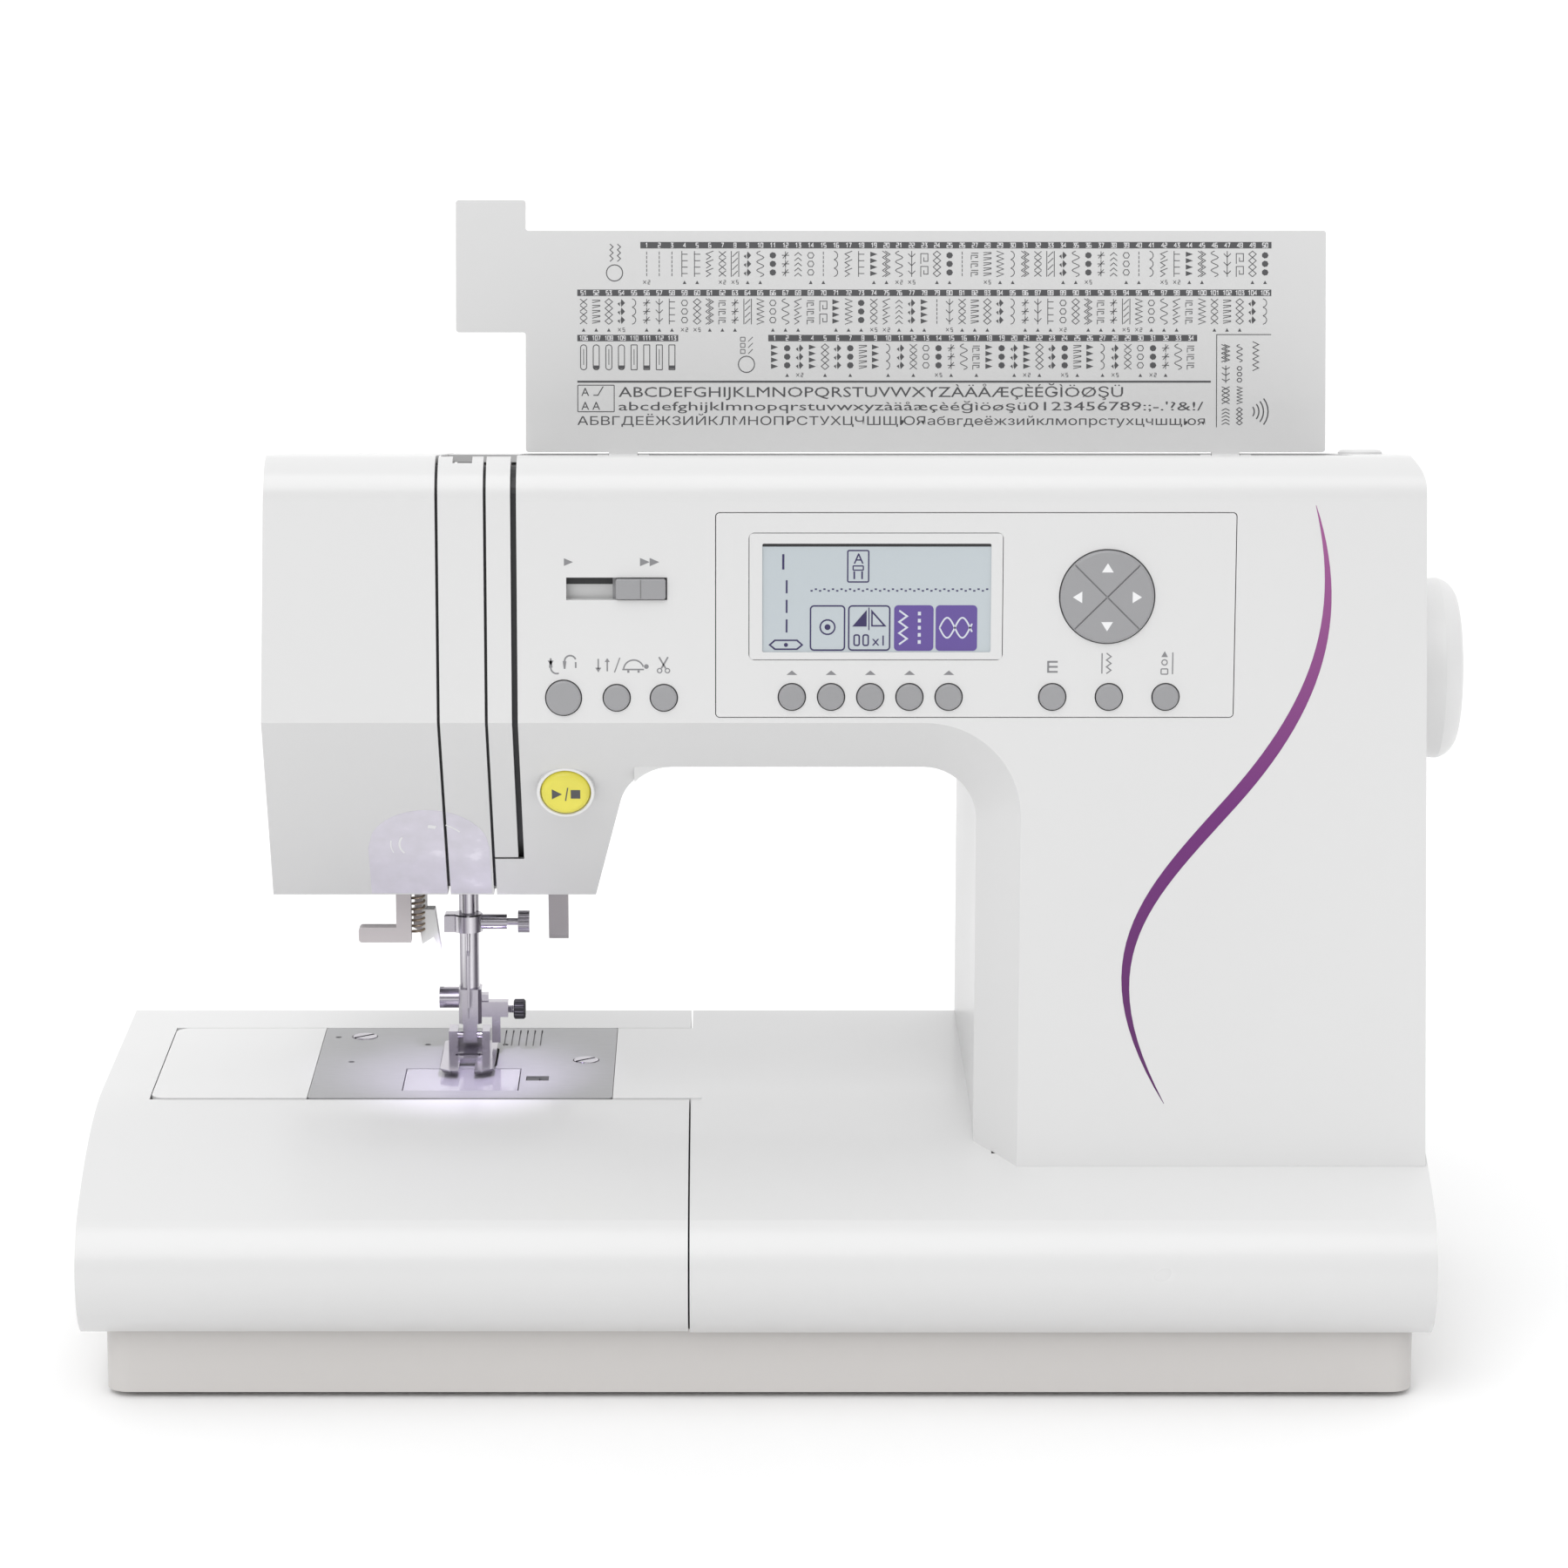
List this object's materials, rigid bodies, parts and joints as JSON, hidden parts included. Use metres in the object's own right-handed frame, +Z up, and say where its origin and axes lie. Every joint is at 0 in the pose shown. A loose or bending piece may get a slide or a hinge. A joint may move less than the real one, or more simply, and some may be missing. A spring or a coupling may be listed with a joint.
{
  "type": "sewing machine",
  "caption": "Electronic free-arm sewing machine with an open top lid, a display panel and a slide-off accessory tray.",
  "frame": {"origin": "middle of the footprint, on the surface that the feet stand on", "axes": "+X along the bed to the right as the sewer sees it, +Y away from the sewer, +Z up"},
  "size_m": [0.4739, 0.208, 0.3924],
  "materials": {
    "white_cover": "semi-gloss moulded",
    "deck_white": "satin moulded",
    "grey_key": "satin",
    "lit_yellow": "translucent, lit from behind",
    "display": "glossy window",
    "plate_steel": "fine brushed",
    "bright_metal": "polished plating",
    "clear_cover": "clear",
    "clear_bobbin": "clear",
    "black_plastic": "satin",
    "rubber": "matt",
    "cast_metal": "as cast",
    "motor_metal": "satin",
    "spring_steel": "plain",
    "circuit_board": "satin"
  },
  "bodies": {
    "machine": {"base_plinth": "white_cover", "rubber_feet": "rubber", "bed_cover": "white_cover", "free_arm_floor": "white_cover", "face_cover": "white_cover", "take_up_cover": "white_cover", "thread_channel_cover": "white_cover", "front_cover": "white_cover", "rear_cover": "white_cover", "control_panel": "white_cover", "lcd_display": "display", "top_deck": "deck_white", "spool_pin": "deck_white", "needle_plate": "plate_steel", "plate_screws": "bright_metal", "machine_frame": "cast_metal", "motor": "motor_metal", "main_board": "circuit_board", "power_inlet": "black_plastic", "bobbin_case": "black_plastic", "presser_spring": "spring_steel", "drive_belt": "rubber"},
    "tray": {"accessory_tray": "white_cover"},
    "handle": {"carry_handle": "deck_white"},
    "lid": {"top_lid": "white_cover"},
    "winder": {"bobbin_winder": "bright_metal"},
    "bobbin_lid": {"bobbin_cover": "clear_cover"},
    "latch": {"cover_latch": "black_plastic"},
    "feed": {"feed_dog": "plate_steel"},
    "hook": {"rotary_hook": "bright_metal"},
    "bobbin": {"bobbin": "clear_bobbin"},
    "needle_unit": {"needle_bar": "bright_metal", "needle_clamp": "bright_metal", "clamp_screw": "bright_metal", "needle": "bright_metal"},
    "presser": {"presser_bar": "bright_metal", "presser_ankle": "bright_metal", "ankle_screw": "bright_metal"},
    "foot": {"zigzag_foot": "bright_metal"},
    "lifter": {"presser_lifter": "grey_key"},
    "threader": {"threader_lever": "deck_white"},
    "shaft": {"main_shaft": "bright_metal", "handwheel": "white_cover"},
    "take_up": {"take_up_lever": "bright_metal"},
    "lower": {"lower_shaft": "bright_metal"},
    "rocker": {"power_switch": "black_plastic"},
    "pad": {"arrow_pad": "grey_key"},
    "start": {"start_stop_button": "lit_yellow"},
    "slider": {"speed_slider": "grey_key"},
    "soft_key_1": {"soft_key_1": "grey_key"},
    "soft_key_2": {"soft_key_2": "grey_key"},
    "soft_key_3": {"soft_key_3": "grey_key"},
    "soft_key_4": {"soft_key_4": "grey_key"},
    "soft_key_5": {"soft_key_5": "grey_key"},
    "function_key_1": {"function_key_1": "grey_key"},
    "function_key_2": {"function_key_2": "grey_key"},
    "function_key_3": {"function_key_3": "grey_key"},
    "reverse_key": {"reverse_key": "grey_key"},
    "needle_key": {"needle_key": "grey_key"},
    "cutter_key": {"cutter_key": "grey_key"}
  },
  "joints": [
    {"name": "tray_slide", "type": "slide", "parent": "machine", "child": "tray", "axis": [-1, 0, 0], "range_m": [0, 0.19]},
    {"name": "handle_hinge", "type": "hinge", "parent": "machine", "child": "handle", "pos_m": [-0.015, 0.075, 0.262], "axis": [1, 0, 0], "range_deg": [0, 165]},
    {"name": "lid_hinge", "type": "hinge", "parent": "machine", "child": "lid", "pos_m": [0.05, 0.031, 0.3032], "axis": [1, 0, 0], "range_deg": [0, 92]},
    {"name": "winder_spin", "type": "hinge", "parent": "machine", "child": "winder", "pos_m": [0.168, -0.022, 0.29], "axis": [0, 0, 1], "continuous": true},
    {"name": "bobbin_cover_tilt", "type": "hinge", "parent": "machine", "child": "bobbin_lid", "pos_m": [-0.112, 0.015, 0.0879], "axis": [-1, 0, 0], "range_deg": [0, 3.5]},
    {"name": "latch_slide", "type": "slide", "parent": "machine", "child": "latch", "axis": [1, 0, 0], "range_m": [0, 0.003], "stiffness_N_per_m": 150},
    {"name": "feed_travel", "type": "slide", "parent": "machine", "child": "feed", "axis": [0, 1, 0], "range_m": [-0.002, 0.002]},
    {"name": "shaft_spin", "type": "hinge", "parent": "machine", "child": "shaft", "pos_m": [0.1, 0.024, 0.231], "axis": [1, 0, 0], "continuous": true},
    {"name": "lower_spin", "type": "hinge", "parent": "machine", "child": "lower", "pos_m": [0.1, 0.024, 0.056], "axis": [1, 0, 0], "continuous": true},
    {"name": "hook_spin", "type": "hinge", "parent": "machine", "child": "hook", "pos_m": [-0.1106, 0.005, 0.07], "axis": [0, 0, 1], "continuous": true},
    {"name": "bobbin_spin", "type": "hinge", "parent": "machine", "child": "bobbin", "pos_m": [-0.1106, 0.005, 0.075], "axis": [0, 0, 1], "continuous": true},
    {"name": "needle_stroke", "type": "slide", "parent": "machine", "child": "needle_unit", "axis": [0, 0, -1], "range_m": [0, 0.028]},
    {"name": "take_up_swing", "type": "hinge", "parent": "machine", "child": "take_up", "pos_m": [-0.0895, -0.005, 0.258], "axis": [-1, 0, 0], "range_deg": [0, 36]},
    {"name": "lifter_hinge", "type": "hinge", "parent": "machine", "child": "lifter", "pos_m": [-0.08, 0.052, 0.176], "axis": [1, 0, 0], "range_deg": [0, 70]},
    {"name": "presser_lift", "type": "slide", "parent": "machine", "child": "presser", "axis": [0, 0, 1], "range_m": [0, 0.006], "deforming": ["presser_spring"]},
    {"name": "foot_tilt", "type": "hinge", "parent": "presser", "child": "foot", "pos_m": [-0.1106, 0.034, 0.0955], "axis": [1, 0, 0], "range_deg": [-2, 2]},
    {"name": "threader_stroke", "type": "slide", "parent": "machine", "child": "threader", "axis": [0, 0, -1], "range_m": [0, 0.028], "stiffness_N_per_m": 200, "springref_m": -0.004},
    {"name": "switch_rock", "type": "hinge", "parent": "machine", "child": "rocker", "pos_m": [0.2146, 0.049, 0.106], "axis": [0, -1, 0], "range_deg": [0, 14]},
    {"name": "soft_key_1_press", "type": "slide", "parent": "machine", "child": "soft_key_1", "axis": [0, 1, 0], "range_m": [0, 0.0015], "stiffness_N_per_m": 300},
    {"name": "soft_key_2_press", "type": "slide", "parent": "machine", "child": "soft_key_2", "axis": [0, 1, 0], "range_m": [0, 0.0015], "stiffness_N_per_m": 300},
    {"name": "soft_key_3_press", "type": "slide", "parent": "machine", "child": "soft_key_3", "axis": [0, 1, 0], "range_m": [0, 0.0015], "stiffness_N_per_m": 300},
    {"name": "soft_key_4_press", "type": "slide", "parent": "machine", "child": "soft_key_4", "axis": [0, 1, 0], "range_m": [0, 0.0015], "stiffness_N_per_m": 300},
    {"name": "soft_key_5_press", "type": "slide", "parent": "machine", "child": "soft_key_5", "axis": [0, 1, 0], "range_m": [0, 0.0015], "stiffness_N_per_m": 300},
    {"name": "function_key_1_press", "type": "slide", "parent": "machine", "child": "function_key_1", "axis": [0, 1, 0], "range_m": [0, 0.0015], "stiffness_N_per_m": 300},
    {"name": "function_key_2_press", "type": "slide", "parent": "machine", "child": "function_key_2", "axis": [0, 1, 0], "range_m": [0, 0.0015], "stiffness_N_per_m": 300},
    {"name": "function_key_3_press", "type": "slide", "parent": "machine", "child": "function_key_3", "axis": [0, 1, 0], "range_m": [0, 0.0015], "stiffness_N_per_m": 300},
    {"name": "reverse_key_press", "type": "slide", "parent": "machine", "child": "reverse_key", "axis": [0, 1, 0], "range_m": [0, 0.0015], "stiffness_N_per_m": 300},
    {"name": "needle_key_press", "type": "slide", "parent": "machine", "child": "needle_key", "axis": [0, 1, 0], "range_m": [0, 0.0015], "stiffness_N_per_m": 300},
    {"name": "cutter_key_press", "type": "slide", "parent": "machine", "child": "cutter_key", "axis": [0, 1, 0], "range_m": [0, 0.0015], "stiffness_N_per_m": 300},
    {"name": "pad_press", "type": "slide", "parent": "machine", "child": "pad", "axis": [0, 1, 0], "range_m": [0, 0.0012], "stiffness_N_per_m": 300},
    {"name": "start_press", "type": "slide", "parent": "machine", "child": "start", "axis": [0, 0.9397, 0.342], "range_m": [0, 0.0015], "stiffness_N_per_m": 300},
    {"name": "speed_slide", "type": "slide", "parent": "machine", "child": "slider", "axis": [-1, 0, 0], "range_m": [0, 0.016]}
  ],
  "couplings": [
    {"joint": "lower_spin", "follows": "shaft_spin", "ratio": 1},
    {"joint": "hook_spin", "follows": "shaft_spin", "ratio": 2},
    {"joint": "lifter_hinge", "follows": "presser_lift", "rad_per_m": 203.62}
  ]
}
